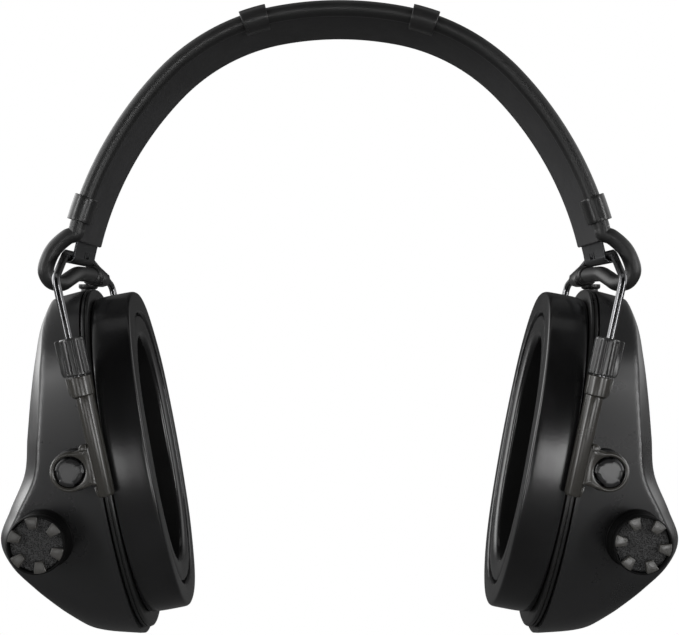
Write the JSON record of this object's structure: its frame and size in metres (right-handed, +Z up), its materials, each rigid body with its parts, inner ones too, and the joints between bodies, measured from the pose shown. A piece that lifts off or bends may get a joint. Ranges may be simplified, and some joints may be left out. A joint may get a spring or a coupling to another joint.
{
  "type": "electronic earmuff hearing protector",
  "caption": "Over-ear hearing protector: sprung headband with cover, folding wire yokes, sliding arms, tilting oval cups with cushions, microphones, keys and battery door.",
  "frame": {"origin": "underside of the headband's crown, in the middle of the band's width, where it rests on the head", "axes": "+Z up, -Y forward (the way the wearer faces and the microphones point), +X to the wearer's left"},
  "size_m": [0.2182, 0.0866, 0.2031],
  "materials": {
    "cover_plastic": "smooth satin black moulded cover",
    "spring_steel": "blackened spring steel",
    "cable_jacket": "matt black cable jacket",
    "clip_plastic": "satin black plastic",
    "wire_steel": "polished dark steel wire",
    "arm_plastic": "warm dark grey satin plastic",
    "collar_plastic": "dark grey finely ribbed plastic",
    "shell_plastic": "semi-gloss black moulded shell",
    "plate_plastic": "satin black plastic",
    "cushion_skin": "glossy black soft vinyl skin over foam",
    "ear_foam": "black open-cell foam",
    "mic_foam": "coarse black wind foam",
    "guard_plastic": "warm dark grey satin plastic",
    "capsule_metal": "plain can",
    "button_rubber": "matt soft-touch rubber",
    "board": "green solder mask",
    "battery_case": "plain satin metal can"
  },
  "bodies": {
    "headband": {"headband_cover": "cover_plastic", "headband_spring": "spring_steel", "cable_over_band": "cable_jacket", "cable_clip_lower_left": "clip_plastic", "cable_clip_lower_right": "clip_plastic", "cable_clip_upper_left": "clip_plastic", "cable_clip_upper_right": "clip_plastic"},
    "yoke_left": {"yoke_wire_left": "wire_steel", "cable_keeper_left": "clip_plastic", "cable_loop_left": "cable_jacket"},
    "arms_left": {"arm_front_left": "arm_plastic", "arm_rear_left": "arm_plastic", "collar_front_left": "collar_plastic", "collar_rear_left": "collar_plastic"},
    "cup_left": {"base_plate_left": "plate_plastic", "cup_shell_left": "shell_plastic", "cushion_left": "cushion_skin", "ear_foam_left": "ear_foam", "mic_capsule_left": "capsule_metal", "mic_foam_left": "mic_foam", "mic_guard_left": "guard_plastic", "speaker_left": "plate_plastic", "cable_gland_left": "clip_plastic", "cable_lead_left": "cable_jacket", "circuit_board": "board", "audio_socket": "plate_plastic"},
    "yoke_right": {"yoke_wire_right": "wire_steel", "cable_keeper_right": "clip_plastic", "cable_loop_right": "cable_jacket"},
    "arms_right": {"arm_front_right": "arm_plastic", "arm_rear_right": "arm_plastic", "collar_front_right": "collar_plastic", "collar_rear_right": "collar_plastic"},
    "cup_right": {"base_plate_right": "plate_plastic", "cup_shell_right": "shell_plastic", "cushion_right": "cushion_skin", "ear_foam_right": "ear_foam", "mic_capsule_right": "capsule_metal", "mic_foam_right": "mic_foam", "mic_guard_right": "guard_plastic", "speaker_right": "plate_plastic", "cable_gland_right": "clip_plastic", "cable_lead_right": "cable_jacket", "battery_tray": "plate_plastic", "battery_front": "battery_case", "battery_rear": "battery_case"},
    "button_volume_up": {"button_volume_up": "button_rubber"},
    "button_power": {"button_power": "button_rubber"},
    "button_volume_down": {"button_volume_down": "button_rubber"},
    "battery_door": {"battery_door": "shell_plastic"}
  },
  "joints": [
    {"name": "yoke_fold_left", "type": "hinge", "parent": "headband", "child": "yoke_left", "pos_m": [0.0864, 0, -0.0764], "axis": [0, 1, 0], "range_deg": [-8, 80], "deforming": ["cable_loop_left"]},
    {"name": "height_slide_left", "type": "slide", "parent": "yoke_left", "child": "arms_left", "axis": [-0.2147, 0, -0.9767], "range_m": [0, 0.026], "deforming": ["cable_lead_left"]},
    {"name": "cup_tilt_left", "type": "hinge", "parent": "arms_left", "child": "cup_left", "pos_m": [0.0792, 0, -0.1414], "axis": [0, 1, 0], "range_deg": [-12, 12]},
    {"name": "yoke_fold_right", "type": "hinge", "parent": "headband", "child": "yoke_right", "pos_m": [-0.0864, 0, -0.0764], "axis": [0, 1, 0], "range_deg": [-80, 8], "deforming": ["cable_loop_right"]},
    {"name": "height_slide_right", "type": "slide", "parent": "yoke_right", "child": "arms_right", "axis": [0.2147, 0, -0.9767], "range_m": [0, 0.026], "deforming": ["cable_lead_right"]},
    {"name": "cup_tilt_right", "type": "hinge", "parent": "arms_right", "child": "cup_right", "pos_m": [-0.0792, 0, -0.1414], "axis": [0, 1, 0], "range_deg": [-12, 12]},
    {"name": "button_volume_up_press", "type": "slide", "parent": "cup_left", "child": "button_volume_up", "axis": [-0.994, -0.0428, -0.1003], "range_m": [0, 0.0009], "stiffness_N_per_m": 500},
    {"name": "button_power_press", "type": "slide", "parent": "cup_left", "child": "button_power", "axis": [-0.9963, -0.0431, -0.075], "range_m": [0, 0.0009], "stiffness_N_per_m": 500},
    {"name": "button_volume_down_press", "type": "slide", "parent": "cup_left", "child": "button_volume_down", "axis": [-0.9707, -0.0406, -0.2369], "range_m": [0, 0.0009], "stiffness_N_per_m": 500},
    {"name": "battery_door_hinge", "type": "hinge", "parent": "cup_right", "child": "battery_door", "pos_m": [-0.10077, -0.00141, -0.12918], "axis": [-0.0343, 0.9994, -0.0063], "range_deg": [0, 95]}
  ]
}
